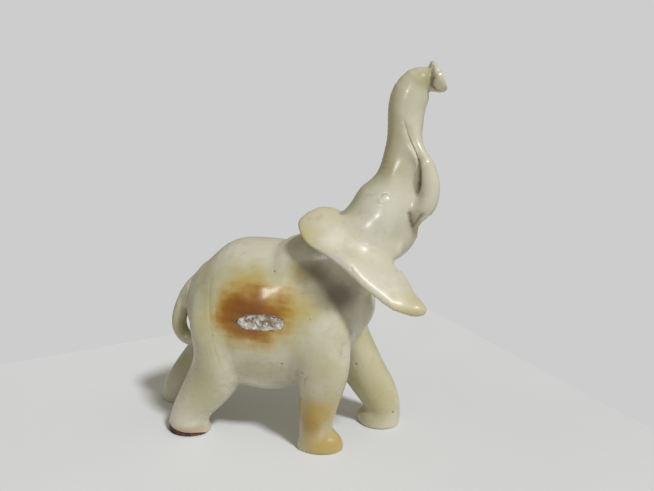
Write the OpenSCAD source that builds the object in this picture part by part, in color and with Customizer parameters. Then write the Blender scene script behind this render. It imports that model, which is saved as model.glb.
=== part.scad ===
// Carved stone elephant, trunk raised, walking.
// X runs from the rump to the trunk, Y to the animal's left, Z up.
// The origin is on the resting plane, under the middle of the outline.

/* [Figure] */
// Overall size against the carved original
figure_scale = 1; // [0.8:0.05:1.25]
// Distance between the left and right feet, centre to centre
stance_w = 36; // [34:0.5:38]
// Half the width of the barrel at its widest
barrel_half_w = 31.5; // [30:0.5:33]

/* [Head] */
// How far the head looks to the animal's left
head_turn = 12; // [0:1:14]
// Thickness of the ear plates at the middle
ear_t = 6.4; // [5:0.2:8]
// How much further back the left ear lies than the right one
left_ear_fold = 15; // [8:1:16]
// Radius of a tusk at its root
tusk_r = 5.4; // [4.8:0.1:6]

/* [Mineral seams] */
// Length of the grey mineral pocket in the right flank
pocket_l = 27; // [18:1:30]
// Height of the same pocket
pocket_h = 8.4; // [5:0.2:10]
// Depth of the pocket below the polished flank
pocket_d = 5; // [3:0.5:8]

/* [Hidden] */

jade = [0.80, 0.78, 0.68];
jade_pale = [0.84, 0.82, 0.73];
grey_rock = [0.62, 0.58, 0.55];
rust = [0.30, 0.14, 0.06];

middle_x = 12.77;              // middle of the outline, in the frame of the stations
middle_y = 2.97;
sole_z = 4.8;                  // height at which the legs are cut flat, in the frame of the stations
neck_x = 44;                   // the head turns about an upright line here
side_y = stance_w / 2;

// ---- lofting -------------------------------------------------------------

function unit(v) = v / norm(v);
function crossing(v, along) = unit(v - (v * along) * along);
function first3(v) = [v[0], v[1], v[2]];

// Catmull-Rom blend of station i of list p towards the next, at t from 0 to 1
function blend(p, i, t) =
    let (a = p[max(i - 1, 0)], b = p[i], c = p[min(i + 1, len(p) - 1)], d = p[min(i + 2, len(p) - 1)])
    0.5 * (2 * b + (c - a) * t + (2 * a - 5 * b + 4 * c - d) * t * t + (3 * b - a - 3 * c + d) * t * t * t);

function refined(p, n) = [
    for (i = [0 : len(p) - 2]) for (k = [0 : n - 1]) blend(p, i, k / n),
    p[len(p) - 1]
];

function direction(p, i) = unit(first3(p[min(i + 1, len(p) - 1)]) - first3(p[max(i - 1, 0)]));

// A ring round station s = [x, y, z, half depth, half width], square to the path
function round_ring(s, along, across, n) =
    let (w = crossing(across, along), d = cross(along, w))
    [for (k = [0 : n - 1]) let (a = 360 * k / n)
        first3(s) + w * (s[4] * cos(a)) + d * (s[3] * sin(a))];

// A flat ring from s = [inner x, y, z, outer x, y, z, thickness]
function blade_ring(s, along, n) =
    let (inner = [s[0], s[1], s[2]], outer = [s[3], s[4], s[5]],
         half = (outer - inner) / 2, up = unit(cross(along, half)))
    [for (k = [0 : n - 1]) let (a = 360 * k / n)
        (inner + outer) / 2 + half * cos(a) + up * (s[6] / 2 * sin(a))];

// Skin over a list of rings that have the same number of points
module skin(rings) {
    n = len(rings[0]);
    m = len(rings);
    polyhedron(
        points = [for (r = rings) for (q = r) q],
        faces = [
            [for (k = [0 : n - 1]) k],
            [for (k = [n - 1 : -1 : 0]) (m - 1) * n + k],
            for (i = [0 : m - 2]) for (k = [0 : n - 1])
                [i * n + k, (i + 1) * n + k, (i + 1) * n + (k + 1) % n, i * n + (k + 1) % n]
        ],
        convexity = 6);
}

module limb(stations, across = [0, 1, 0], n = 32, per = 3) {
    p = refined(stations, per);
    skin([for (i = [0 : len(p) - 1]) round_ring(p[i], direction(p, i), across, n)]);
}

module blade(stations, n = 28, per = 3) {
    p = refined(stations, per);
    mid = [for (s = p) [(s[0] + s[3]) / 2, (s[1] + s[4]) / 2, (s[2] + s[5]) / 2]];
    skin([for (i = [0 : len(p) - 1]) blade_ring(p[i], direction(mid, i), n)]);
}

// ---- forms, each a full overlapping volume -------------------------------

// [x, y, z, half height, half width] from rump to chest
function barrel() = [
    [-40.6, 0, 76, 3, 4],
    [-39.6, 0, 75, 7.5, 8],
    [-36.9, 0, 72.8, 13.2, 13.5],
    [-31.5, 0, 71.4, 22.3, 19.5],
    [-26, 0, 70.6, 29, 23.5],
    [-18, 0, 70, 36.8, barrel_half_w - 3.5],
    [-8, 0, 69.6, 41.2, barrel_half_w - 0.5],
    [4, 0, 69.4, 41.8, barrel_half_w],
    [16, 0, 69.9, 40.8, barrel_half_w - 0.7],
    [28, 0, 71.4, 37.8, barrel_half_w - 2.5],
    [40, 0, 73, 31.3, barrel_half_w - 7],
    [50, 0, 75, 22, barrel_half_w - 12],
    [57.5, 0, 77, 13.5, 12.5],
    [61.5, 0, 78.5, 8, 8],
    [63.5, 0, 79.5, 3.5, 3.5]
];

// [x, y, z, half depth, half width] from the withers through the skull to the end of the trunk
function axis() = [
    [22, 0, 84, 26, 22],
    [34, 0, 92, 26.5, 22],
    [45, 0, 100, 22.6, 20.5],
    [53.2, 0, 108.2, 19.9, 19],
    [60.6, 0, 117, 17.9, 18.2],
    [66.8, 0, 126.3, 15.6, 17.2],
    [71.2, 0, 135.6, 13, 15.2],
    [74, 0, 145, 10.7, 12.2],
    [75.4, 0, 153, 9.8, 10],
    [76.3, 0, 162, 8.9, 9.2],
    [76.9, 0, 171, 8.8, 8.8],
    [77.4, 0, 180, 9.1, 8.5],
    [79.3, 0, 187, 9.2, 8.4],
    [82.8, 0, 192, 7.8, 7.6],
    [86.4, 0, 193.5, 5.9, 6.4],
    [88.4, 0, 193.6, 6, 6.6],
    [90.2, 0, 194, 7.4, 7.8],
    [92, 0, 194.8, 8.2, 8.4],
    [93.5, 0, 195.6, 7.2, 7.4]
];

// The lower lip and jaw, from inside the throat to the lip's edge
function jaw() = [
    [61.5, 0, 111.5, 13, 13],
    [69.5, 0, 112, 10.8, 11.5],
    [76, 0, 114, 7.6, 9],
    [81, 0, 117, 4.2, 6],
    [84.2, 0, 119, 2.6, 3.8],
    [85.7, 0, 119.8, 1.2, 1.8]
];

// [x, y, z, radius, radius] of the right tusk, root to tip
function tusk_path() = [
    [75.3, -6, 132.3, tusk_r, tusk_r],
    [81.2, -9, 130.1, tusk_r + 0.2, tusk_r + 0.2],
    [86.2, -11.2, 132.3, tusk_r, tusk_r],
    [88.7, -12, 138.3, tusk_r - 0.3, tusk_r - 0.3],
    [88.5, -12, 146, tusk_r - 0.7, tusk_r - 0.7],
    [86.2, -11.4, 154.3, tusk_r - 1.4, tusk_r - 1.4],
    [83, -10.4, 162, tusk_r - 2.2, tusk_r - 2.2],
    [79.5, -9.4, 168.8, tusk_r - 3.2, tusk_r - 3.2],
    [76.6, -8.8, 174.5, tusk_r - 4.5, tusk_r - 4.5]
];

// [inner rail x, y, z, outer rail x, y, z, thickness] of the right ear, top to tip
function ear_plate(k) = [for (s = [
    [35, -9, 131.1, 28.8, -12, 128.6, ear_t - 3.5],
    [40.4, -8, 130.6, 24.9, -16, 125.4, ear_t - 1],
    [48, -9, 127.3, 26.4, -21.5, 120.4, ear_t - 0.5],
    [53.6, -10, 123.5, 31.3, -26, 114.9, ear_t],
    [59.5, -10.5, 118.8, 38.8, -30, 108.9, ear_t],
    [65.2, -12, 113.9, 46.5, -33.5, 103.8, ear_t],
    [70.5, -15, 108.8, 54.6, -36, 97.5, ear_t - 0.5],
    [74.5, -19, 104, 62.4, -37.5, 92.4, ear_t - 1],
    [78.5, -23.5, 98.9, 69.7, -38, 88.7, ear_t - 1.5],
    [81.6, -27.5, 93.9, 76.4, -37.5, 86.5, ear_t - 2],
    [85.1, -31, 89.7, 81.8, -36.5, 85.4, ear_t - 2.6],
    [87.2, -33.5, 87.1, 86.1, -35, 85.5, ear_t - 4.4]
]) [s[0], s[1] * k, s[2], s[3], s[4] * k, s[5], s[6]]];

function tail_path() = [
    [-28.5, 0, 93, 5, 6],
    [-35.4, 0, 86, 4.8, 6],
    [-41.8, 0, 77, 4.7, 5.8],
    [-46.8, 0, 67, 4.4, 5.3],
    [-48.5, 0, 59.5, 4.1, 4.8],
    [-47, 0, 53.8, 4, 4.4],
    [-43, 0, 50.8, 3.8, 4.2],
    [-37.5, 0, 51.4, 3.8, 4.2],
    [-32, 0, 54, 3.8, 4.2]
];

// Legs: [x, outward shift, z, half depth, half width], top to sole
function front_right() = [
    [37, -7, 86, 9, 6],
    [39, -1, 78, 13.5, 8],
    [41.5, 3, 67, 15.8, 10.5],
    [41.6, 2.5, 55, 14.6, 11.5],
    [40.2, 1, 43, 12.9, 11.3],
    [39.2, 0, 35, 11.3, 10.8],
    [38, 0, 27, 10, 10],
    [37, 0, 19.5, 9, 9.3],
    [36.7, 0, 13.5, 8.9, 9],
    [38, 0, 9, 10.6, 9.4],
    [38.6, 0, 5.5, 11.6, 9.6],
    [38.6, 0, 0, 11, 9.4]
];

function front_left() = [
    [37, -7, 86, 9, 6],
    [39, -1, 78, 13, 8],
    [41.5, 3, 67, 14, 10.5],
    [44, 2.5, 56, 13, 11.5],
    [48.3, 1, 45, 12.6, 11.4],
    [54.2, 0, 35, 12.2, 10.8],
    [60.6, 0, 25.5, 11.2, 10],
    [64.4, 0, 18, 10, 9.3],
    [65.6, 0, 12.5, 9.4, 9.2],
    [64.2, 0, 8.5, 11, 9.8],
    [63.4, 0, 5.5, 11.2, 10],
    [63.4, 0, 0, 9, 9.4]
];

function rear_right() = [
    [-21, -8, 88, 8, 6],
    [-21, -1, 80, 9.5, 8],
    [-19.8, 4, 70, 11, 9.5],
    [-16.5, 3.4, 58, 12.4, 11.4],
    [-16.8, 1.6, 47, 13.4, 12],
    [-19.6, 0.6, 38, 14, 11.6],
    [-25, 0, 30, 12.6, 11],
    [-30.6, 0, 22, 11, 10.2],
    [-34.6, 0, 15, 10.6, 9.8],
    [-35.8, 0, 9, 11.5, 10.2],
    [-35.7, 0, 5.5, 12, 10.4],
    [-35.4, 0, 0, 11.2, 10.2]
];

function rear_left() = [
    [-21, -8, 88, 8, 6],
    [-23.5, -1, 80, 11, 8],
    [-25.5, 4, 71, 12.8, 9.5],
    [-26, 3.4, 60, 14.4, 11.2],
    [-30, 1.6, 48, 14, 11.4],
    [-37.5, 0.6, 38, 13.2, 11],
    [-45.6, 0, 28, 12.2, 10.4],
    [-53.8, 0, 18.5, 11.2, 9.8],
    [-58.4, 0, 11.5, 10.8, 9.8],
    [-59.4, 0, 5.5, 11.2, 10.2],
    [-59.2, 0, 0, 10.4, 9.8]
];

// hand: -1 for a right leg, 1 for a left one
function placed(leg, hand) = [for (s = leg) [s[0], hand * (side_y + s[1]), s[2], s[3], s[4]]];

// ---- shared volumes ------------------------------------------------------

// Everything past a plane through point p, whose normal leans this far forward of upright
module past(p, lean) {
    translate(p) rotate([0, lean, 0]) translate([-150, -150, 0]) cube([300, 300, 300]);
}

// The planes where the neck meets the head and the head meets the trunk
module past_nape() { past([52, 0, 109.3], 43); }

module past_brow() { past([74.6, 0, 149], 12); }

module past_soles() { past([0, 0, sole_z], 0); }

// Every ring of the barrel stands upright across the body
module barrel_form() {
    skin([for (s = refined(barrel(), 2)) round_ring(s, [1, 0, 0], [0, 1, 0], 44)]);
}

// Turns the head's own frame into the body's
module turned() {
    translate([neck_x, 0, 0]) rotate([0, 0, head_turn]) translate([-neck_x, 0, 0]) children();
}

module axis_form() { limb(axis(), n = 36, per = 2); }

module jaw_form() { limb(jaw(), n = 24, per = 2); }

module tusk_form() { limb(tusk_path(), n = 20); }

// spread: how far the plate stands out, 1 as on the right side
module ear_form(spread = 1) { blade(ear_plate(spread), n = 28); }

module tail_form() { limb(tail_path(), n = 22); }

module leg_form(leg, hand) {
    intersection() {
        limb(placed(leg, hand), n = 28, per = 2);
        past_soles();
    }
}

// The long pocket that the grey mineral fills, square to the flank
module pocket_form() {
    run = (pocket_l - pocket_h) / 2;
    translate([11.6, -barrel_half_w + pocket_d, 75.2]) rotate([90, 0, 0])
        hull() for (e = [-1, 1])
            translate([e * run, e * 0.5, 0]) cylinder(h = 20, d = pocket_h, $fn = 28);
}

// The lens-shaped seam along the outer edge of the rear right sole
module sole_seam_form() {
    translate([-35.5, -side_y - 11, sole_z]) scale([13, 7, 3.6]) sphere(1, $fn = 32);
}

// Moves the figure over the origin
module placed_figure() {
    scale(figure_scale) translate([-middle_x, -middle_y, -sole_z]) children();
}

// ---- nodes ---------------------------------------------------------------

module torso() {
    color(jade) placed_figure() difference() {
        barrel_form();
        pocket_form();
    }
}

module neck() {
    color(jade) placed_figure() difference() {
        turned() difference() {
            axis_form();
            past_nape();
        }
        barrel_form();
    }
}

module head() {
    color(jade) placed_figure() turned() difference() {
        union() {
            axis_form();
            jaw_form();
        }
        past_brow();
        past([52, 0, 109.3], 43 + 180);
    }
}

module trunk() {
    color(jade) placed_figure() turned() intersection() {
        axis_form();
        past_brow();
    }
}

// One ear in the head's frame, right or left of it
module right_ear_form() { turned() ear_form(); }

module left_ear_form() {
    turned() translate([neck_x + 2, 0, 107.5]) rotate([0, 0, left_ear_fold])
        scale(0.93) translate([-neck_x, 0, -108]) mirror([0, 1, 0]) ear_form(0.7);
}

module right_ear() {
    color(jade_pale) placed_figure() difference() {
        right_ear_form();
        turned() axis_form();
        barrel_form();
    }
}

module left_ear() {
    color(jade_pale) placed_figure() difference() {
        left_ear_form();
        turned() axis_form();
        barrel_form();
    }
}

module right_tusk() {
    color(jade_pale) placed_figure() turned() difference() {
        tusk_form();
        axis_form();
        jaw_form();
    }
}

module left_tusk() {
    color(jade_pale) placed_figure() turned() difference() {
        mirror([0, 1, 0]) tusk_form();
        axis_form();
        jaw_form();
    }
}

module tail() {
    color(jade) placed_figure() difference() {
        tail_form();
        barrel_form();
        leg_form(rear_right(), -1);
        leg_form(rear_left(), 1);
    }
}

module front_right_leg() {
    color(jade) placed_figure() difference() {
        leg_form(front_right(), -1);
        barrel_form();
        turned() axis_form();
    }
}

module front_left_leg() {
    color(jade) placed_figure() difference() {
        leg_form(front_left(), 1);
        barrel_form();
        turned() axis_form();
    }
}

module rear_right_leg() {
    color(jade) placed_figure() difference() {
        leg_form(rear_right(), -1);
        barrel_form();
        sole_seam_form();
    }
}

module rear_left_leg() {
    color(jade) placed_figure() difference() {
        leg_form(rear_left(), 1);
        barrel_form();
    }
}

module flank_inclusion() {
    color(grey_rock) placed_figure() intersection() {
        barrel_form();
        pocket_form();
    }
}

module sole_inclusion() {
    color(rust) placed_figure() intersection() {
        leg_form(rear_right(), -1);
        sole_seam_form();
    }
}

torso();
neck();
head();
trunk();
right_ear();
left_ear();
right_tusk();
left_tusk();
tail();
front_right_leg();
front_left_leg();
rear_right_leg();
rear_left_leg();
flank_inclusion();
sole_inclusion();
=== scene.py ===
import math
import bmesh
import bpy
import numpy as np
from mathutils import Matrix, Vector, kdtree, noise
from mathutils.bvhtree import BVHTree


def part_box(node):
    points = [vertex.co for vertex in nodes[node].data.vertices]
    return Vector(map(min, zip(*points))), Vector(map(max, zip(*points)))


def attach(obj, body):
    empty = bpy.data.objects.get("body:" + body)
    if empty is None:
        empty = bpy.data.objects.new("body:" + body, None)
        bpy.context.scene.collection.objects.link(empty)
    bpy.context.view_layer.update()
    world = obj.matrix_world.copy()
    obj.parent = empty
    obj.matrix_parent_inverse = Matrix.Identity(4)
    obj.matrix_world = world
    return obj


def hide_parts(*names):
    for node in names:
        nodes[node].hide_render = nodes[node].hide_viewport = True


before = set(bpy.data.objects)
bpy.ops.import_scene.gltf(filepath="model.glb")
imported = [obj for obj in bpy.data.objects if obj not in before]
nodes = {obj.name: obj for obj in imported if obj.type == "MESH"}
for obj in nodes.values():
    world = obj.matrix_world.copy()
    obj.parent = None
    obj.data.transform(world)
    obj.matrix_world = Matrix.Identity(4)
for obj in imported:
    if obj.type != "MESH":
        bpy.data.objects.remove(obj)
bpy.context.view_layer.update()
mm = 0.001
scene = bpy.context.scene


def onBox(node, x, y, z):
    # a place in millimetres, as shares of a node's own box
    low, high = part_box(node)
    return np.array([low[i] + (high[i] - low[i]) * s for i, s in enumerate((x, y, z))]) / mm


# the head looks to the animal's left
headPose = {"turn": math.radians(12), "pivot": onBox("torso", 0.813, 0.5, 0)}


def turnBy(points, angle):
    p = np.atleast_2d(np.asarray(points, float)) - headPose["pivot"] * [1, 1, 0]
    c, s = math.cos(angle), math.sin(angle)
    return np.column_stack([p[:, 0] * c - p[:, 1] * s, p[:, 0] * s + p[:, 1] * c, p[:, 2]])


def toHead(points):
    return turnBy(points, -headPose["turn"])


def otherSide(point, onHead=True):
    # the same place on the animal's left
    if not onHead:
        return np.array([point[0], 2 * headPose["pivot"][1] - point[1], point[2]])
    p = toHead(point)[0] * [1, -1, 1]
    c, s = math.cos(headPose["turn"]), math.sin(headPose["turn"])
    return np.array([p[0] * c - p[1] * s, p[0] * s + p[1] * c, p[2]]) + headPose["pivot"] * [1, 1, 0]


def cleanCopy(node, into=None):
    # a merged copy of a node's loose triangles, added to another mesh if one is given
    bm = bmesh.new()
    bm.from_mesh(nodes[node].data)
    bmesh.ops.remove_doubles(bm, verts=bm.verts, dist=1e-6)
    if into is None:
        return bm
    part = bpy.data.meshes.new(node)
    bm.to_mesh(part)
    bm.free()
    into.from_mesh(part)
    bpy.data.meshes.remove(part)
    return into


def makeObject(name, bm):
    mesh = bpy.data.meshes.new(name)
    bm.to_mesh(mesh)
    bm.free()
    piece = bpy.data.objects.new(name, mesh)
    scene.collection.objects.link(piece)
    return piece


def applied(piece):
    # bakes the modifiers of a piece into its mesh
    graph = bpy.context.evaluated_depsgraph_get()
    mesh = bpy.data.meshes.new_from_object(piece.evaluated_get(graph))
    piece.modifiers.clear()
    old, piece.data = piece.data, mesh
    bpy.data.meshes.remove(old)
    return piece


def remeshed(piece, size):
    step = piece.modifiers.new("remesh", "REMESH")
    step.mode = "VOXEL"
    step.voxel_size = size
    return applied(piece)


def getPoints(mesh):
    flat = np.empty(len(mesh.vertices) * 3)
    mesh.vertices.foreach_get("co", flat)
    return flat.reshape(-1, 3) / mm


def setPoints(mesh, points):
    mesh.vertices.foreach_set("co", (points * mm).ravel())
    mesh.update()


def getNormals(mesh):
    flat = np.empty(len(mesh.vertices) * 3, np.float32)
    mesh.vertex_normals.foreach_get("vector", flat)
    return flat.reshape(-1, 3).astype(float)


def getEdges(mesh):
    flat = np.empty(len(mesh.edges) * 2, np.int32)
    mesh.edges.foreach_get("vertices", flat)
    return flat.reshape(-1, 2)


def spread(values, edges, share=1.0):
    # the mean of each point's neighbours, blended in by share
    values = np.asarray(values, float)
    flat = values.reshape(len(values), -1)
    count = np.bincount(edges.ravel(), minlength=len(flat))
    total = np.empty_like(flat)
    for k in range(flat.shape[1]):
        total[:, k] = np.bincount(edges[:, 0], flat[edges[:, 1], k], len(flat)) + np.bincount(
            edges[:, 1], flat[edges[:, 0], k], len(flat))
    mean = total / np.maximum(count, 1)[:, None]
    share = np.asarray(share, float).reshape(-1, 1) if np.ndim(share) else share
    return (flat + (mean - flat) * share).reshape(values.shape)


def fade(value, low, high):
    # a smooth step from 0 to 1
    t = np.clip((value - low) / (high - low), 0, 1)
    return t * t * (3 - 2 * t)


def keepLargest(piece):
    # drops stray shells that lie inside the body
    bm = bmesh.new()
    bm.from_mesh(piece.data)
    left, islands = set(bm.verts), []
    while left:
        seed = left.pop()
        island, queue = {seed}, [seed]
        while queue:
            for edge in queue.pop().link_edges:
                for v in edge.verts:
                    if v in left:
                        left.discard(v)
                        island.add(v)
                        queue.append(v)
        islands.append(island)
    islands.sort(key=len)
    for island in islands[:-1]:
        bmesh.ops.delete(bm, geom=list(island), context="VERTS")
    bm.to_mesh(piece.data)
    bm.free()
    return len(islands)


def boolean(piece, cutter, operation):
    step = piece.modifiers.new("cut", "BOOLEAN")
    step.operation = operation
    step.solver = "MANIFOLD"
    step.object = cutter
    return applied(piece)


# the carved figure as one skin, before it is divided into its pieces; fillets stay small near the tusks
carving = {"voxel": 0.00062, "polish": 14, "fillet": 60, "filletCut": 0.012, "filletSpread": 12,
           "filletGain": 1.6, "tuskWidth": 11, "tuskKeep": 0.85}

# stone left between parts where the carver did not cut right through: place, radius in mm
webs = [(("right_tusk", 0.11, 0.698, 0.749), 4.2), (("right_tusk", 0.20, 0.724, 0.671), 4.3),
        (("right_tusk", 0.28, 0.743, 0.574), 4.3), (("right_tusk", 0.31, 0.745, 0.467), 4.3),
        (("right_tusk", 0.31, 0.748, 0.348), 4.5), (("right_tusk", 0.25, 0.742, 0.229), 4.8),
        (("right_tusk", 0.243, 0.729, 0.846), 4.2), (("right_tusk", 0.36, 0.764, 0.769), 5.0),
        (("right_tusk", 0.42, 0.78, 0.66), 4.4), (("right_tusk", 0.480, 0.847, 0.049), 4.6),
        (("right_tusk", 0.378, 0.815, 0.0), 5.0), (("right_tusk", 0.24, 0.782, -0.063), 5.2),
        (("right_tusk", 0.08, 0.751, -0.176), 4.8), (("head", 0.82, 0.26, 0.27), 4.6),
        (("tail", 0.369, 0.413, 0.644), 4.2), (("tail", 0.356, 0.413, 0.527), 4.0),
        (("tail", 0.30, 0.413, 0.44), 3.2), (("tail", 0.50, 0.30, 0.62), 4.4),
        (("tail", 0.52, 0.25, 0.74), 4.8), (("tail", 0.62, 0.20, 0.66), 4.4),
        (("tail", 0.60, 0.22, 0.54), 3.8)]
bm = bmesh.new()
for name in nodes:
    cleanCopy(name, bm)
for spot, radius in webs:
    for centre in (onBox(*spot), otherSide(onBox(*spot), spot[0] != "tail")):
        bmesh.ops.create_icosphere(bm, subdivisions=3, radius=radius * mm,
                                   matrix=Matrix.Translation(Vector(centre) * mm))
figure = makeObject("figure", bm)
remeshed(figure, carving["voxel"])
print("shells", keepLargest(figure), "points", len(figure.data.vertices))

points = getPoints(figure.data)
edges = getEdges(figure.data)
for turn in range(carving["polish"]):
    points = spread(points, edges, 0.5 if turn % 2 == 0 else -0.52)
setPoints(figure.data, points)
normals = getNormals(figure.data)

hollow = np.clip(((spread(points, edges) - points) * normals).sum(1) / carving["filletCut"], 0, 1)
tuskX = toHead(onBox("right_tusk", 0.5, 0.5, 0.6))[0, 0]
nearTusk = np.exp(-((toHead(points)[:, 0] - tuskX) / carving["tuskWidth"]) ** 2) * (
    points[:, 2] > onBox("right_tusk", 0, 0, 0)[2])
for turn in range(carving["filletSpread"]):
    hollow = np.maximum(spread(hollow, edges), hollow * 0.9)
hollow = np.clip(hollow * carving["filletGain"], 0, 1) * (1 - carving["tuskKeep"] * nearTusk)
for turn in range(carving["fillet"]):
    points = spread(points, edges, 0.6 * hollow)
setPoints(figure.data, points)
print("skin smoothed")


# where the limbs run into the body with no edge: place, radius in mm, rounds
easing = [(("torso", 0.82, 0.02, 0.60), 25, 700), (("torso", 0.80, 0.06, 0.80), 15, 350),
          (("torso", 0.28, 0.05, 0.66), 17, 260), (("head", 0.42, 0.10, 0.54), 10, 420),
          (("head", 0.56, 0.08, 0.42), 10, 420), (("head", 0.72, 0.10, 0.28), 8, 260),
          (("head", 0.93, 0.41, 0.50), 8, 300), (("right_tusk", 0.12, 0.40, 0.86), 7, 160),
          (("right_tusk", 0.12, 0.40, 0.66), 7, 120), (("right_tusk", 0.12, 0.42, 0.44), 6, 120),
          (("right_tusk", 0.12, 0.45, 0.22), 7, 160), (("right_tusk", 0.45, 0.45, 0.80), 8, 260),
          (("right_tusk", 0.10, 0.20, -0.22), 7, 160), (("head", 0.80, 0.30, 0.25), 6, 200),
          (("right_tusk", 0.42, 0.98, 0.76), 5.5, 260), (("right_tusk", 0.36, 0.98, 0.56), 5.5, 260),
          (("right_tusk", 0.36, 0.98, 0.36), 5.5, 260), (("right_tusk", 0.36, 0.98, 0.16), 5.5, 260),
          (("right_tusk", 0.36, 0.98, -0.05), 5.5, 260), (("right_tusk", 0.30, 0.30, 0.0), 6, 160),
          (("tail", 0.55, 0.25, 0.80), 11, 300)]
swell = [(("head", 0.44, 0.34, 0.75), 8.5, 2.6), (("right_ear", 0.95, 0.24, 0.06), 6, 0.9),
         (("head", 0.42, 0.13, 0.56), 6, 2.2), (("head", 0.53, 0.10, 0.48), 6, 2.6),
         (("head", 0.64, 0.10, 0.37), 6, 2.2), (("head", 0.99, 0.55, 0.48), 4.5, -1.6),
         (("front_right_leg", 0.80, 0.52, 0.05), 5.5, 2.0), (("front_right_leg", 0.10, 0.40, 0.02), 4, 1.2),
         (("front_right_leg", 0.72, 0.10, 0.02), 4, 1.2), (("trunk", 0.87, 0.29, 0.91), 3.6, 0.9),
         (("tail", 0.62, 0.1, 0.8), 6, 1.0)]


def near(place, radius):
    # 1 at a place, less round it
    return np.exp(-((np.linalg.norm(points - place, axis=1) / radius) ** 2))


def awayFrom(node, low, high):
    # 0 on a node's own surface, 1 further off
    bm = cleanCopy(node)
    surface = BVHTree.FromBMesh(bm)
    bm.free()
    gap = np.array([surface.find_nearest(p)[3] for p in (points * mm).tolist()]) / mm
    return fade(gap, low, high)


thinEar = {"node": "left_ear", "from": 1.4, "to": 3.4}  # smoothing would wear the thin ear away
thickEnough = awayFrom(thinEar["node"], thinEar["from"], thinEar["to"])


def eased(centre, radius, rounds):
    # smooths the skin round a place, and leaves the thin ear alone
    global points
    share = np.exp(-((np.linalg.norm(points - centre, axis=1) / radius) ** 4)) * thickEnough
    kept = np.flatnonzero(share > 0.01)
    index = np.full(len(points), -1)
    index[kept] = np.arange(len(kept))
    runs = index[edges]
    runs = runs[(runs >= 0).all(1)]
    part, hold = points[kept], 0.8 * share[kept] * (share[kept] > 0.02)
    for turn in range(rounds):
        part = spread(part, runs, hold)
    points = points.copy()
    points[kept] = part


onHeadNodes = ("head", "trunk", "right_ear", "right_tusk")
normals = getNormals(figure.data)
for spot, radius, rise in swell:
    for centre in (onBox(*spot), otherSide(onBox(*spot), spot[0] in onHeadNodes)):
        points = points + normals * (rise * near(centre, radius))[:, None]
tuck = {"at": ("left_ear", 1.0, 0.95, 0.04), "size": 9.0, "back": 4.5}  # the far ear's tip leans back
points = points - np.outer(near(onBox(*tuck["at"]), tuck["size"]), (tuck["back"], 0, 0))
for spot, radius, rounds in easing:
    centre = onBox(*spot)
    eased(centre, radius, rounds)
    eased(otherSide(centre, spot[0] in onHeadNodes), radius, rounds)
setPoints(figure.data, points)
print("limbs eased in")


# carving marks: each moves the skin in or out along its normal; widths, depths and sizes in millimetres
def groove(line, width, skin=None):
    # 1 along a line, less beside it
    skin = points if skin is None else skin
    best = np.full(len(skin), 1e9)
    for a, b in zip(line[:-1], line[1:]):
        run = b - a
        t = np.clip((skin - a) @ run / (run @ run), 0, 1)
        best = np.minimum(best, np.linalg.norm(skin - a - t[:, None] * run, axis=1))
    return np.exp(-((best / width) ** 2))


def sideLine(places, width):
    # a groove drawn on both flanks of the head, however far out the skin is there
    line = [toHead(onBox(*p))[0] * [1, 0, 1] for p in places]
    return groove(line, width, local * [1, 0, 1]) * fade(np.abs(local[:, 1]), 2.5, 5)


def bothSides(places, onHead=True):
    # a line and its mirror image
    return [places, [otherSide(p, onHead) for p in places]]


def waves(size, seed=0.0):
    # soft noise at every point
    flow = points / size + seed
    return np.array([noise.noise(p) for p in flow.tolist()])


normals = getNormals(figure.data)
local = toHead(points)
move = np.zeros(len(points))
shadeAndGrime = np.zeros(len(points))  # how much grime and painted shade each point holds

chisel = {"wide": 17.0, "wideDepth": 0.34, "fine": 5.5, "fineDepth": 0.07}
footing = fade(points[:, 2], 0.4, 4)
move += footing * (
    chisel["wideDepth"] * waves(chisel["wide"]) + chisel["fineDepth"] * waves(chisel["fine"], 40.0))

eye = {"at": (0.64, 0.196, 0.735), "ball": 3.2, "rise": 0.55, "lid": 3.9, "lidRise": 0.04,
       "brow": [("head", 0.62, 0.23, 0.765), ("head", 0.65, 0.23, 0.79), ("head", 0.69, 0.23, 0.785),
                ("head", 0.715, 0.24, 0.76)],
       "browWidth": 0.5, "browDepth": 0.42}
for centre in bothSides([onBox("head", *eye["at"])]):
    away = np.linalg.norm((points - centre[0]) * [0.9, 1, 1.07], axis=1)
    move += eye["rise"] * (1 - fade(away, 0.6, eye["ball"]))
    move += eye["lidRise"] * np.exp(-(((away - eye["lid"]) / 0.9) ** 2))
cut = sideLine(eye["brow"], eye["browWidth"])
move -= eye["browDepth"] * cut
# the brow groove is painted darker: painted shade in the crease, with some grime
shadeAndGrime += 0.3 * cut

cheek = {"at": (0.67, 0.12, 0.57), "size": 8.0, "rise": 1.5}
for centre in bothSides([onBox("head", *cheek["at"])]):
    move += cheek["rise"] * near(centre[0], cheek["size"])

mouth = {"line": [("right_tusk", 0.215, 0.258, 0.101), ("right_tusk", 0.272, 0.277, 0.022),
                  ("right_tusk", 0.354, 0.303, -0.038), ("right_tusk", 0.454, 0.335, 0.013),
                  ("right_tusk", 0.526, 0.358, 0.093)],
         "width": 1.3, "depth": 0.8}
cut = sideLine(mouth["line"], mouth["width"])
move -= mouth["depth"] * cut
# the mouth line is painted darker: brown grime and painted shade in the groove
shadeAndGrime += 0.4 * cut

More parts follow.
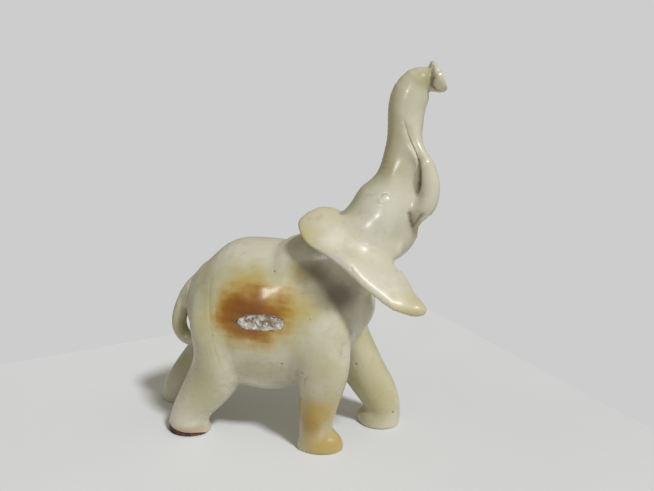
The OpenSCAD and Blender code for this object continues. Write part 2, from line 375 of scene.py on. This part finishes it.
# where the tusk leaves the trunk: a crisp line that opens into a narrow slot
trunkCut = {"line": [("right_tusk", 0.011, 0.36, 0.984), ("right_tusk", 0.093, 0.387, 0.889),
                     ("right_tusk", 0.175, 0.413, 0.804), ("right_tusk", 0.283, 0.448, 0.709),
                     ("right_tusk", 0.379, 0.479, 0.623)],
            "lineWidth": 0.45, "lineDepth": 0.7,
            "shelf": [("right_tusk", 0.12, 0.38, 0.91), ("right_tusk", 0.24, 0.42, 0.80),
                      ("right_tusk", 0.36, 0.46, 0.70), ("right_tusk", 0.44, 0.48, 0.62)],
            "shelfWidth": 1.5, "shelfDepth": 0.45,
            "slot": [("right_tusk", 0.379, 0.479, 0.623), ("right_tusk", 0.418, 0.492, 0.536),
                     ("right_tusk", 0.436, 0.497, 0.439), ("right_tusk", 0.427, 0.494, 0.361),
                     ("right_tusk", 0.402, 0.486, 0.312)],
            "slotWidth": 0.62, "slotDepth": 2.6}
opened = fade(points[:, 2], onBox(*trunkCut["line"][0])[2], onBox(*trunkCut["line"][2])[2])
cut = sideLine(trunkCut["line"], trunkCut["lineWidth"]) * (0.35 + 0.65 * opened)
shelf = sideLine(trunkCut["shelf"], trunkCut["shelfWidth"])
move -= trunkCut["lineDepth"] * cut + trunkCut["shelfDepth"] * shelf
# the trunk line is painted darker: painted shade in the cut
shadeAndGrime += 0.3 * cut
slotTop, slotEnd = onBox(*trunkCut["slot"][0])[2] + 1, onBox(*trunkCut["slot"][-1])[2] - 1
along = np.clip((points[:, 2] - slotEnd) / (slotTop - slotEnd), 0, 1)
cut = sideLine(trunkCut["slot"], trunkCut["slotWidth"]) * np.sin(along * math.pi) ** 0.7
move -= trunkCut["slotDepth"] * cut
# the slot is painted dark: painted shade down the deep gap
shadeAndGrime += 0.7 * cut

# the bell-shaped end of the trunk
tip = {"crease": [(0.785, 0.36, 0.95), (0.78, 0.31, 0.85), (0.77, 0.35, 0.79), (0.83, 0.46, 0.745),
                  (0.9, 0.48, 0.74)],
       "notch": [(0.795, 0.3, 0.856), (0.84, 0.28, 0.875), (0.9, 0.28, 0.9)], "nostril": (1.0, 0.5, 0.93),
       "creaseWidth": 1.0, "creaseDepth": 0.7, "notchWidth": 0.7, "notchDepth": 0.9, "nostrilSize": 2.2,
       "nostrilDepth": 1.1}
for line in bothSides([onBox("trunk", *p) for p in tip["crease"]]):
    cut = groove(line, tip["creaseWidth"])
    move -= tip["creaseDepth"] * cut
    # the lower part of the crease round the trunk's end is painted darker: painted shade in the groove
    shadeAndGrime += 0.5 * cut * fade(points[:, 2], onBox("trunk", 0, 0, 0.93)[2], onBox("trunk", 0, 0, 0.84)[2])
for line in bothSides([onBox("trunk", *p) for p in tip["notch"]]):
    move -= tip["notchDepth"] * groove(line, tip["notchWidth"])
for centre in bothSides([onBox("trunk", *tip["nostril"])]):
    move -= tip["nostrilDepth"] * near(centre[0], tip["nostrilSize"])

ridges = {"pitch": 2.7, "depth": 0.1}  # the notched back of the trunk
axisX = toHead(onBox("trunk", 0.38, 0.5, 0))[0, 0]
low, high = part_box("trunk")
upTrunk = fade(points[:, 2], low[2] / mm - 1, low[2] / mm + 5) * (
    1 - fade(points[:, 2], high[2] / mm - 22, high[2] / mm - 12))
backEdge = (1 - fade(local[:, 0], axisX - 8.0, axisX - 6.0)) * (local[:, 0] > axisX - 30)
notches = (0.5 + 0.5 * np.cos(points[:, 2] * 2 * math.pi / ridges["pitch"])) ** 2
move -= ridges["depth"] * upTrunk * backEdge * notches

earCut = {"rim": [(0.125, 0.2, 0.656), (0.209, 0.135, 0.587), (0.308, 0.075, 0.499), (0.404, 0.03, 0.42),
                  (0.47, 0.02, 0.36)],
          "rimWidth": 2.2, "rimDepth": 0.5,
          "mark": [(0.452, 0.148, 0.462), (0.476, 0.093, 0.409), (0.471, 0.045, 0.374)],
          "markWidth": 0.5, "markDepth": 0.45}
rim = [onBox("right_ear", *p) for p in earCut["rim"]]
move -= earCut["rimDepth"] * groove(rim, earCut["rimWidth"])
cut = groove([onBox("right_ear", *p) for p in earCut["mark"]], earCut["markWidth"])
move -= earCut["markDepth"] * cut
# the ear mark is painted a little darker: painted shade in the groove
shadeAndGrime += 0.1 * cut

thigh = {"long": [("torso", 0.212, 0.175, 0.8), ("torso", 0.222, 0.08, 0.665),
                  ("rear_right_leg", 0.75, 0.06, 0.816), ("rear_right_leg", 0.794, 0.02, 0.692),
                  ("rear_right_leg", 0.86, 0.06, 0.557), ("rear_right_leg", 0.93, 0.27, 0.4)],
         "short": [("torso", 0.262, 0.1, 0.75), ("torso", 0.262, 0.05, 0.65), ("torso", 0.27, 0.03, 0.55)],
         "width": 0.6, "depth": 0.25}
for key in ("long", "short"):
    for line in bothSides([onBox(*p) for p in thigh[key]], False):
        cut = groove(line, thigh["width"])
        move -= thigh["depth"] * cut * (0.7 + 0.6 * waves(9, 7.0))

rumpEdge = {"line": [("torso", 0.034, 0.357, 0.70), ("torso", 0.03, 0.357, 0.58),
                     ("torso", 0.026, 0.357, 0.477), ("torso", 0.022, 0.357, 0.373),
                     ("torso", 0.013, 0.357, 0.267)],
            "depth": 0.7, "width": 0.9}
line = np.array([onBox(*p) for p in rumpEdge["line"]])
lineX = np.interp(points[:, 2], line[::-1, 2], line[::-1, 0])
upRump = fade(points[:, 2], line[-1, 2] - 4, line[-1, 2] + 4) * (
    1 - fade(points[:, 2], line[0, 2] - 2, line[0, 2] + 8))
offMiddle = fade(np.abs(points[:, 1] - headPose["pivot"][1]), 4, 7)
cut = np.exp(-(((points[:, 0] - lineX) / rumpEdge["width"]) ** 2)) * upRump * offMiddle
move -= rumpEdge["depth"] * cut
# the rump edge is painted a little darker: painted shade in the crease
shadeAndGrime += 0.15 * cut

shoulder = {"line": [(0.535, 0.02, 0.76), (0.436, 0.0, 0.674), (0.303, 0.05, 0.583), (0.208, 0.14, 0.48)],
            "width": 0.55, "depth": 0.3}
for line in bothSides([onBox("front_right_leg", *p) for p in shoulder["line"]], False):
    move -= shoulder["depth"] * groove(line, shoulder["width"])

pits = [("front_right_leg", 0.29, 0.04, 0.657), ("torso", 0.598, 0.073, 0.3),
        ("front_right_leg", 0.771, 0.1, 0.625), ("front_right_leg", 0.736, 0.104, 0.577),
        ("front_left_leg", 0.482, 0.014, 0.468), ("front_left_leg", 0.938, 0.182, 0.124),
        ("front_right_leg", 0.3, 0.06, 0.54), ("front_right_leg", 0.24, 0.1, 0.52),
        ("torso", 0.66, 0.08, 0.62), ("torso", 0.37, 0.09, 0.73), ("torso", 0.55, 0.16, 0.86),
        ("front_right_leg", 0.2, 0.15, 0.56)]
pitForm = {"size": 0.6, "depth": 0.45, "darkening": 0.9}
for pit in pits:
    cut = near(onBox(*pit), pitForm["size"])
    move -= pitForm["depth"] * cut
    shadeAndGrime += pitForm["darkening"] * cut


# the long grey pocket in the flank: an irregular lens, lower than the polished stone round it
pocket = {"centre": (0.5, 0.0, 0.48), "half": (12.4, 4.0), "tilt": 0.035, "sink": 0.75, "rough": 0.5,
          "depth": 5.2, "plug": 0.012}
pocketCentre = onBox("flank_inclusion", *pocket["centre"])


def pocketRim(u, v):
    # 1 on the outline of the pocket, less inside it
    v = v - u * pocket["tilt"]
    reach = (np.abs(u / pocket["half"][0]) ** 2.6 + np.abs(v / pocket["half"][1]) ** 2.6) ** (1 / 2.6)
    angle = np.arctan2(v * 2.2, u)
    return reach * (
        1 + 0.035 * np.sin(3 * angle + 0.6) + 0.03 * np.sin(7 * angle + 2.0) + 0.02 * np.sin(13 * angle))


across = points - pocketCentre
inside = pocketRim(across[:, 0], across[:, 2]) + 9 * (points[:, 1] > pocketCentre[1] + 9)
floorOf = 1 - fade(inside, 0.9, 1.03)
move -= floorOf * pocket["sink"]
move += floorOf * pocket["rough"] * (waves(2.2, 11.0) + 0.6 * waves(1.1, 23.0))
shadeAndGrime += 0.9 * np.exp(-(((inside - 1.0) / 0.06) ** 2)) * fade(-across[:, 2] - across[:, 0] * 0.25, -3.5, 3.5)

# the dark seam along the edge of one sole, lower than the foot round it
sole = {"half": (13.0, 7.0, 4.6), "inset": 5.6, "tilt": math.radians(9), "sink": 0.6}
soleLow, soleHigh = [np.array(c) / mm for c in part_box("sole_inclusion")]
soleCentre = (soleLow + soleHigh) / 2 * [1, 0, 0] + [0, soleLow[1] + sole["inset"], 0]
off = points - soleCentre
lean = off[:, 2] + off[:, 0] * math.tan(sole["tilt"])
long, wide, tall = sole["half"]
inSole = np.sqrt((off[:, 0] / long) ** 2 + (off[:, 1] / wide) ** 2 + (lean / tall) ** 2)
inner = 1 - fade(inSole, 0.86, 1.0)
move -= inner * (sole["sink"] + 0.25 * waves(1.6, 31.0)) * fade(points[:, 2], 0.2, 1.2)

points = points + normals * move[:, None]
points[:, 2] = np.maximum(points[:, 2], 0)
setPoints(figure.data, points)
earTree = kdtree.KDTree(sum(len(nodes[k].data.vertices) for k in ("right_ear", "left_ear")))
for k in ("right_ear", "left_ear"):
    for v in nodes[k].data.vertices:
        earTree.insert(v.co / mm, v.index)
earTree.balance()
wash = {"creamFrom": 1.5, "creamTo": 6.5, "creamRounds": 20, "hollowCut": 0.03, "hollowRounds": 3,
        "hollowShade": 0.35}
fromEars = np.array([earTree.find(p)[2] for p in points.tolist()])
cream = 1 - fade(fromEars, wash["creamFrom"], wash["creamTo"])
for turn in range(wash["creamRounds"]):
    cream = spread(cream, edges)
# hollows are painted darker: painted shade in the creases and fillets
concave = ((spread(points, edges) - points) * getNormals(figure.data)).sum(1)
concave = np.clip(concave / wash["hollowCut"], 0, 1)
for turn in range(wash["hollowRounds"]):
    concave = spread(concave, edges)
shadeAndGrime = np.clip(shadeAndGrime + wash["hollowShade"] * concave, 0, 1)
print("marks carved")


# dividing the skin into the pieces, each closed by a flat or curved cut
# how far each cut goes past its node in mm, the cutter's voxel in metres, the lean of the cuts in degrees
dividing = {"ear": 2.0, "tusk": 0.9, "tail": 1.3, "leg": 2.4, "neck": 0.8, "coarse": 0.0012,
            "trunkLean": 12, "headLean": 43}


def grown(node, by):
    # a node's own shape, larger all round, to cut the skin with
    cutter = remeshed(makeObject("cutter", cleanCopy(node)), dividing["coarse"])
    mesh = cutter.data
    at, runs = getPoints(mesh), getEdges(mesh)
    for turn in range(6):
        at = spread(at, runs, 0.5)
    setPoints(mesh, at)
    setPoints(mesh, at + getNormals(mesh) * (by + 0.15))
    return remeshed(cutter, dividing["coarse"])


def halfSpace(point, lean):
    # a large block that lies past a plane of the head, leaning forward of upright by this angle
    bm = bmesh.new()
    bmesh.ops.create_cube(bm, size=0.4)
    bmesh.ops.translate(bm, vec=(0, 0, 0.2), verts=bm.verts)
    bmesh.ops.rotate(bm, matrix=Matrix.Rotation(math.radians(lean), 3, "Y"), verts=bm.verts)
    bmesh.ops.rotate(bm, matrix=Matrix.Rotation(headPose["turn"], 3, "Z"), verts=bm.verts)
    bmesh.ops.translate(bm, vec=Vector(point) * mm, verts=bm.verts)
    return makeObject("cutter", bm)


def pocketBlock():
    # a plug with the pocket's own outline
    bm = bmesh.new()
    bmesh.ops.create_circle(bm, cap_ends=True, segments=96, radius=1)
    for v in bm.verts:
        angle = math.atan2(v.co.y, v.co.x)
        u, w = math.cos(angle) * pocket["half"][0], math.sin(angle) * pocket["half"][1]
        scale = 1 / float(pocketRim(np.array(u), np.array(w)))
        v.co = Vector((pocketCentre[0] + u * scale, pocketCentre[1] + pocket["depth"],
                       pocketCentre[2] + w * scale)) * mm
    pushed = bmesh.ops.extrude_face_region(bm, geom=bm.faces[:])
    bmesh.ops.translate(bm, vec=(0, -pocket["plug"], 0),
                        verts=[v for v in pushed["geom"] if isinstance(v, bmesh.types.BMVert)])
    bmesh.ops.recalc_face_normals(bm, faces=bm.faces)
    return makeObject("cutter", bm)


def soleBlock():
    # the lens along the outer edge of the rear right sole
    bm = bmesh.new()
    bmesh.ops.create_uvsphere(bm, u_segments=64, v_segments=32, radius=mm)
    bmesh.ops.scale(bm, vec=sole["half"], verts=bm.verts)
    bmesh.ops.rotate(bm, matrix=Matrix.Rotation(sole["tilt"], 3, "Y"), verts=bm.verts)
    bmesh.ops.translate(bm, vec=Vector(soleCentre) * mm, verts=bm.verts)
    return makeObject("cutter", bm)


def copyOf(piece, name):
    twin = bpy.data.objects.new(name, piece.data.copy())
    scene.collection.objects.link(twin)
    return twin


pieces = {}


def takeOut(name, cutter, rest):
    # the part of the stone inside the cutter becomes a piece of its own
    pieces[name] = boolean(copyOf(rest, name + "_stone"), cutter, "INTERSECT")
    boolean(rest, cutter, "DIFFERENCE")
    bpy.data.objects.remove(cutter)
    print(name, len(pieces[name].data.polygons), "faces")


rest = copyOf(figure, "rest")
takeOut("flank_inclusion", pocketBlock(), rest)
takeOut("sole_inclusion", soleBlock(), rest)
for name in ("right_tusk", "left_tusk"):
    takeOut(name, grown(name, dividing["tusk"]), rest)
for name in ("right_ear", "left_ear"):
    takeOut(name, grown(name, dividing["ear"]), rest)
takeOut("tail", grown("tail", dividing["tail"]), rest)
for name in ("front_right_leg", "front_left_leg", "rear_right_leg", "rear_left_leg"):
    takeOut(name, grown(name, dividing["leg"]), rest)
takeOut("trunk", halfSpace(onBox("trunk", 0.319, 0.5, 0.127), dividing["trunkLean"]), rest)
takeOut("head", halfSpace(onBox("head", 0.291, 0.5, 0.26), dividing["headLean"]), rest)
takeOut("neck", grown("neck", dividing["neck"]), rest)
pieces["torso"] = rest
print("divided")


# what each piece stands for, its slot, its grime and painted shade, and its shading
slotOf = {"flank_inclusion": "grey_mineral", "sole_inclusion": "rust_mineral", "right_tusk": "tusk_stone",
          "left_tusk": "tusk_stone", "right_ear": "ear_stone", "left_ear": "ear_stone",
          "front_right_leg": "leg_stone", "front_left_leg": "leg_stone", "rear_right_leg": "leg_stone",
          "rear_left_leg": "leg_stone"}
finishing = {"cutAngle": math.radians(48)}
skinTree = kdtree.KDTree(len(points))
for i, p in enumerate(points.tolist()):
    skinTree.insert(p, i)
skinTree.balance()
for name, piece in pieces.items():
    keepLargest(piece)
    piece.name = piece.data.name = name + "_stone"
    mesh = piece.data
    nearest = [skinTree.find(p) for p in getPoints(mesh).tolist()]
    share = np.array([shadeAndGrime[i] for _, i, _ in nearest]) * (np.array([d for _, _, d in nearest]) < 1.2)
    grime = mesh.attributes.new("grime", "FLOAT", "POINT")
    grime.data.foreach_set("value", share.astype(np.float32))
    ofEar = mesh.attributes.new("cream", "FLOAT", "POINT")
    ofEar.data.foreach_set("value", np.array([cream[i] for _, i, _ in nearest], np.float32))
    mesh.shade_smooth()
    mesh.set_sharp_from_angle(angle=finishing["cutAngle"])
    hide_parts(name)
    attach(piece, "root")
bpy.data.objects.remove(figure)
print("pieces ready")


# finishes
def hue(red, green, blue):
    # a screen colour, 0 to 255, as the light it stands for
    shares = [c / 255 for c in (red, green, blue)]
    return tuple(c / 12.92 if c <= 0.04045 else ((c + 0.055) / 1.055) ** 2.4 for c in shares) + (1.0,)


class Wire:
    # one output of a shader node, which can be added to, taken from and multiplied
    def __init__(self, tree, socket=None):
        self.tree, self.socket = tree, socket

    def node(self, kind, settings=None, inputs=None, output=0):
        made = self.tree.nodes.new(kind)
        for key, value in (settings or {}).items():
            if key == "stops":
                ramp = made.color_ramp
                while len(ramp.elements) < len(value):
                    ramp.elements.new(1.0)
                for element, (place, colour) in zip(ramp.elements, value):
                    element.position, element.color = place, colour
            else:
                setattr(made, key, value)
        for key, value in (inputs or {}).items():
            if isinstance(value, Wire):
                self.tree.links.new(value.socket, made.inputs[key])
            else:
                made.inputs[key].default_value = value
        return Wire(self.tree, made.outputs[output])

    def maths(self, operation, first, second):
        return self.node("ShaderNodeMath", {"operation": operation}, {0: first, 1: second})

    def __add__(self, other):
        return self.maths("ADD", self, other)

    def __radd__(self, other):
        return self.maths("ADD", other, self)

    def __sub__(self, other):
        return self.maths("SUBTRACT", self, other)

    def __rsub__(self, other):
        return self.maths("SUBTRACT", other, self)

    def __mul__(self, other):
        return self.maths("MULTIPLY", self, other)

    def __rmul__(self, other):
        return self.maths("MULTIPLY", other, self)


def soft(value, low, high, start=0.0, end=1.0):
    # a smooth step from start to end
    settings = {0: value, 1: low, 2: high, 3: start, 4: end}
    return value.node("ShaderNodeMapRange", {"interpolation_type": "SMOOTHSTEP"}, settings)


def mixed(share, first, second):
    return share.node("ShaderNodeMix", {"data_type": "RGBA"}, {0: share, 6: first, 7: second}, 2)


def tinted(base, colour, share):
    return mixed(share, base, colour)


def grain(place, scale, detail=2.0, distortion=0.0):
    settings = {"Vector": place, "Scale": scale, "Detail": detail, "Distortion": distortion}
    return place.node("ShaderNodeTexNoise", None, settings)


def stretched(place, factors):
    return place.node("ShaderNodeVectorMath", {"operation": "MULTIPLY"}, {0: place, 1: factors})


def moved(place, by):
    return place.node("ShaderNodeVectorMath", {"operation": "SUBTRACT"}, {0: place, 1: by})


def reach(place, centre, radii):
    # 0 at the centre of a stain, 1 on its outline
    inward = stretched(moved(place, tuple(centre)), tuple(1 / r for r in radii))
    return place.node("ShaderNodeVectorMath", {"operation": "LENGTH"}, {0: inward}, 1)


def startFinish(name):
    # an empty material, and a place on the object in millimetres
    material = bpy.data.materials.new(name)
    material.use_nodes = True
    tree = material.node_tree
    tree.nodes.clear()
    out = tree.nodes.new("ShaderNodeOutputMaterial")
    shader = tree.nodes.new("ShaderNodeBsdfPrincipled")
    tree.links.new(shader.outputs[0], out.inputs[0])
    start = Wire(tree)
    place = start.node("ShaderNodeTexCoord", None, None, 3)
    place = stretched(place, (1000, 1000, 1000))
    return material, shader, start, place


def fit(shader, key, value):
    # sets or wires one input of the shader
    if isinstance(value, Wire):
        value.tree.links.new(value.socket, shader.inputs[key])
    else:
        shader.inputs[key].default_value = value


def bumped(height, strength, distance):
    return height.node("ShaderNodeBump", None, {"Strength": strength, "Distance": distance, "Height": height})


# stains, with some painted shade and a painted reflection: node, place on its box, radii in mm, colour,
# strength
stainsShadeAndSheen = [
    ("torso", (0.40, 0.05, 0.83), (15, 30, 9), hue(176, 160, 84), 0.55),
    ("torso", (0.70, 0.08, 0.66), (10, 22, 9), hue(192, 168, 88), 0.6),
    ("neck", (0.28, 0.05, 0.42), (7, 22, 7), hue(196, 176, 96), 0.5),
    # the two dark brown neck patches are a brown stain together with painted shade, where the ear's shadow
    # falls on the neck
    ("neck", (0.43, 0.05, 0.40), (14, 14, 9), hue(80, 60, 18), 0.75),
    ("neck", (0.66, 0.12, 0.14), (15, 16, 11), hue(80, 60, 18), 0.85),
    ("right_tusk", (0.35, 0.30, 0.02), (4.5, 8, 5), hue(146, 118, 62), 0.7),
    ("trunk", (0.9, 0.4, 0.9), (8, 14, 12), hue(220, 212, 186), 0.7),
    ("trunk", (0.45, 0.3, 0.62), (14, 22, 30), hue(216, 210, 186), 0.6),
    ("right_tusk", (0.55, 0.4, 0.5), (12, 14, 32), hue(220, 214, 190), 0.6),
    ("head", (0.68, 0.2, 0.66), (15, 16, 18), hue(220, 218, 204), 0.6),
    ("front_right_leg", (0.40, 0.15, 0.30), (15, 30, 12), hue(172, 142, 44), 0.85),
    ("front_right_leg", (0.30, 0.18, 0.19), (7, 22, 9), hue(158, 118, 24), 0.75),
    ("front_right_leg", (0.55, 0.30, 0.05), (20, 30, 9), hue(178, 150, 78), 0.85),
    ("rear_right_leg", (0.50, 0.12, 0.42), (12, 26, 13), hue(178, 172, 118), 0.5),
    ("rear_right_leg", (0.35, 0.20, 0.03), (16, 26, 5), hue(150, 110, 60), 0.5),
    ("right_ear", (0.08, 0.30, 0.68), (8, 12, 10), hue(190, 182, 112), 0.7),
    ("right_ear", (0.90, 0.20, 0.06), (13, 12, 7), hue(190, 180, 124), 0.5),
    # a grey-lavender tint on the ear's lower rim: painted reflection of the polished facet there
    ("right_ear", (0.30, 0.06, 0.50), (17, 5, 10), hue(182, 176, 176), 0.55),
    ("trunk", (0.18, 0.30, 0.35), (6, 30, 26), hue(176, 158, 112), 0.4),
    ("trunk", (0.66, 0.30, 0.84), (7, 22, 6), hue(150, 138, 74), 0.5),
    # wide tints from here: the tail, legs and low chest more olive and darker, partly the stone's tone and
    # partly painted shade; the top of the back paler, partly painted light from above
    ("tail", (0.30, 0.20, 0.30), (12, 24, 14), hue(170, 158, 112), 0.5),
    ("rear_left_leg", (0.30, 0.20, 0.30), (24, 30, 26), hue(150, 140, 94), 0.5),
    ("front_left_leg", (0.60, 0.10, 0.25), (24, 26, 26), hue(178, 166, 112), 0.6),
    ("front_left_leg", (0.50, 0.30, 0.60), (26, 26, 30), hue(184, 176, 136), 0.5),
    ("rear_right_leg", (0.50, 0.30, 0.62), (26, 30, 34), hue(178, 172, 134), 0.5),
    ("front_right_leg", (0.40, 0.20, 0.60), (18, 20, 22), hue(186, 176, 136), 0.45),
    ("torso", (0.45, 0.30, 1.00), (30, 30, 11), hue(216, 210, 196), 0.6),
    ("torso", (0.70, 0.10, 0.20), (30, 20, 12), hue(182, 170, 138), 0.45),
]
halo = {"middle": (-4.5, 0, 3.8), "radii": (27, 44, 20), "wander": 3.0,
        "stops": [(0.0, hue(104, 66, 0)), (0.3, hue(132, 76, 0)), (0.5, hue(150, 96, 0)),
                  (0.66, hue(168, 124, 12)), (0.82, hue(186, 152, 50)), (1.0, hue(188, 172, 96))]}
dull = {"at": ("neck", 0.42, 0.07, 0.42), "radii": (18, 14, 9)}  # rubbed and greasy, with no polish
stone = {"roughness": 0.3, "coat": 0.25, "coatRoughness": 0.16}


def stoneFinish(name, pale, olive, earPale, earOlive):
    material, shader, start, place = startFinish(name)
    ear = start.node("ShaderNodeAttribute", {"attribute_name": "cream"}, None, 2)
    drift = place.node("ShaderNodeTexNoise", None, {"Vector": place, "Scale": 0.11, "Detail": 2.0}, 1)
    drift = stretched(moved(drift, (0.5, 0.5, 0.5)), (halo["wander"] * 2,) * 3)
    bent = place.node("ShaderNodeVectorMath", {"operation": "ADD"}, {0: place, 1: drift})
    cloud = grain(bent, 0.045, 3.0)
    colour = mixed(soft(cloud, 0.36, 0.66), pale, olive)
    colour = tinted(colour, mixed(soft(cloud, 0.36, 0.66), earPale, earOlive), ear * 0.95)
    milk = grain(bent, 0.16, 4.0)
    colour = tinted(colour, hue(226, 221, 204), soft(milk, 0.56, 0.8, 0.0, 0.4))
    colour = tinted(colour, hue(150, 142, 108), soft(milk, 0.44, 0.2, 0.0, 0.4))
    streak = grain(stretched(bent, (0.05, 0.05, 0.9)), 1.0, 3.0)
    colour = tinted(colour, hue(172, 158, 116), soft(streak, 0.6, 0.78, 0.0, 0.35))
    for node, where, radii, tone, share in stainsShadeAndSheen:
        far = reach(bent, onBox(node, *where), radii)
        colour = tinted(colour, tone, soft(far, 1.25, 0.15, 0.0, share))
    far = reach(bent, pocketCentre + np.array(halo["middle"]), halo["radii"])
    far = far + (grain(place, 0.09, 5.0) - 0.5) * 0.75
    far = far + (grain(stretched(place, (0.05, 0.05, 0.3)), 1.0, 4.0) - 0.5) * 0.34
    ring = far.node("ShaderNodeValToRGB", {"stops": halo["stops"]}, {0: far})
    colour = tinted(colour, ring, soft(far, 1.3, 0.5, 0.0, 0.99))
    speck = place.node("ShaderNodeTexVoronoi", None, {"Vector": bent, "Scale": 0.23})
    chance = grain(place, 0.06, 1.0)
    colour = tinted(colour, hue(92, 62, 34), soft(speck, 0.075, 0.03) * soft(chance, 0.54, 0.62))
    grime = start.node("ShaderNodeAttribute", {"attribute_name": "grime"}, None, 2)
    # grime and painted shade from the grooves and hollows darken the stone's colour
    darkening = soft(grime + (grain(place, 0.7, 2.0) - 0.5) * 0.25 * soft(grime, 0.05, 0.3), 0.08, 0.9)
    colour = tinted(colour, hue(104, 78, 34), darkening * 0.85)
    fit(shader, "Base Color", colour)
    smear = grain(place, 0.22, 4.0)
    worn = soft(reach(bent, onBox(*dull["at"]), dull["radii"]), 1.2, 0.5)
    fit(shader, "Roughness", ear * 0.14 + stone["roughness"] + (smear - 0.5) * 0.22 + darkening * 0.3 + worn * 0.3)
    fit(shader, "Coat Weight", (1 - worn) * (1 - ear * 0.7) * soft(far, 0.2, 0.9, 0.15, stone["coat"]))
    fit(shader, "Coat Roughness", stone["coatRoughness"])
    scratch = grain(stretched(place, (0.35, 0.35, 2.6)), 1.0, 3.0)
    height = scratch * 0.5 + grain(place, 0.9, 3.0)
    fit(shader, "Normal", bumped(height, 0.35, 0.00006))
    return material


def mineralFinish():
    material, shader, start, place = startFinish("grey_mineral")
    patch = grain(place, 0.32, 4.0, 0.6)
    colour = mixed(soft(patch, 0.4, 0.62), hue(134, 118, 100), hue(192, 184, 172))
    crystal = place.node("ShaderNodeTexVoronoi", None, {"Vector": place, "Scale": 0.85}, 1)
    tone = crystal.node("ShaderNodeSeparateColor", None, {0: crystal})
    colour = tinted(colour, hue(232, 228, 224), soft(tone, 0.72, 0.86, 0.0, 0.8))
    spot = grain(place, 0.42, 3.0, 1.0)
    colour = tinted(colour, hue(92, 56, 36), soft(spot, 0.56, 0.68, 0.0, 0.85))
    grime = start.node("ShaderNodeAttribute", {"attribute_name": "grime"}, None, 2)
    # grime and painted shade along the pocket darken the mineral
    colour = tinted(colour, hue(70, 38, 20), soft(grime, 0.2, 0.8, 0.0, 0.9))
    fit(shader, "Base Color", colour)
    fit(shader, "Metallic", soft(tone, 0.3, 0.8, 0.0, 0.35))
    fit(shader, "Roughness", 0.3 + patch * 0.3)
    fit(shader, "Normal", bumped(grain(place, 1.4, 4.0), 0.8, 0.0004))
    return material


def rustFinish():
    material, shader, start, place = startFinish("rust_mineral")
    patch = grain(place, 0.4, 4.0, 0.5)
    colour = mixed(soft(patch, 0.38, 0.66), hue(54, 30, 14), hue(104, 58, 34))
    colour = tinted(colour, hue(150, 104, 66), soft(grain(place, 1.1, 3.0), 0.6, 0.75, 0.0, 0.5))
    fit(shader, "Base Color", colour)
    fit(shader, "Roughness", 0.5 + patch * 0.25)
    fit(shader, "Normal", bumped(grain(place, 1.8, 4.0), 0.7, 0.0003))
    return material


bodyStone = stoneFinish("body_stone", hue(208, 204, 186), hue(190, 184, 151), hue(202, 196, 175),
                        hue(196, 188, 162))
finishes = {"grey_mineral": mineralFinish(), "rust_mineral": rustFinish()}
for name, piece in pieces.items():
    piece.data.materials.clear()
    piece.data.materials.append(finishes.get(slotOf.get(name), bodyStone))
print("finished stone")


# the pale floor, the soft studio light and the camera
# a table that ends in a corner behind the figure
stand = {"corner": (0.019, 0.258), "left": (-1.361, -1.128), "right": (1.093, -1.014)}
bm = bmesh.new()
bm.faces.new([bm.verts.new((*stand[k], 0)) for k in ("corner", "left", "right")])
floor = makeObject("floor", bm)
material, shader, start, place = startFinish("floor")
paper = grain(place, 0.004, 3.0)
fit(shader, "Base Color", mixed(soft(paper, 0.3, 0.7), hue(224, 225, 228), hue(230, 231, 234)))
fit(shader, "Roughness", 0.6)
floor.data.materials.append(material)

studio = {"air": 0.31, "airHue": (1, 0.95, 0.78, 1), "backdrop": 0.61, "keyPower": 2.35,
          "keyHue": (0.95, 0.97, 1.0), "keySoft": 8, "keyTurn": -36, "keyRise": 50, "sidePower": 1.5,
          "sideSize": 0.14, "sideTurn": -99, "sideRise": 24, "sideAway": 0.9}
world = bpy.data.worlds.new("studio")
scene.world = world
world.use_nodes = True
air = Wire(world.node_tree)
background = world.node_tree.nodes["Background"]
seen = air.node("ShaderNodeLightPath")
strength = seen * (studio["backdrop"] - studio["air"]) + studio["air"]
world.node_tree.links.new(mixed(seen, studio["airHue"], (1, 1, 1, 1)).socket, background.inputs["Color"])
world.node_tree.links.new(strength.socket, background.inputs["Strength"])


def softLight(name, light, power, turn, rise, away, aim=(0, 0, 0.09), fills=True):
    # a lamp at a compass angle and a height angle, pointed at the figure
    light.energy = power
    lamp = bpy.data.objects.new(name, light)
    lamp.visible_diffuse = fills
    a, e = math.radians(turn), math.radians(rise)
    toward = Vector((math.cos(a) * math.cos(e), math.sin(a) * math.cos(e), math.sin(e)))
    lamp.location = Vector(aim) + toward * away
    lamp.rotation_euler = toward.to_track_quat("Z", "Y").to_euler()
    scene.collection.objects.link(lamp)


key = bpy.data.lights.new("key", "SUN")
key.angle, key.color = math.radians(studio["keySoft"]), studio["keyHue"]
softLight("key", key, studio["keyPower"], studio["keyTurn"], studio["keyRise"], 1.0)
side = bpy.data.lights.new("side", "AREA")
side.shape, side.size = "DISK", studio["sideSize"]
softLight("side", side, studio["sidePower"], studio["sideTurn"], studio["sideRise"], studio["sideAway"],
          fills=False)

lens = bpy.data.cameras.new("camera")
lens.sensor_width, lens.lens = 36, 41.28
camera = bpy.data.objects.new("camera", lens)
camera.location = (0.12723, -0.36637, 0.1952)
camera.rotation_euler = (math.radians(76.5), 0, math.radians(15.7))
scene.collection.objects.link(camera)
scene.camera = camera
scene.view_settings.view_transform = "Standard"

print("scene ready")
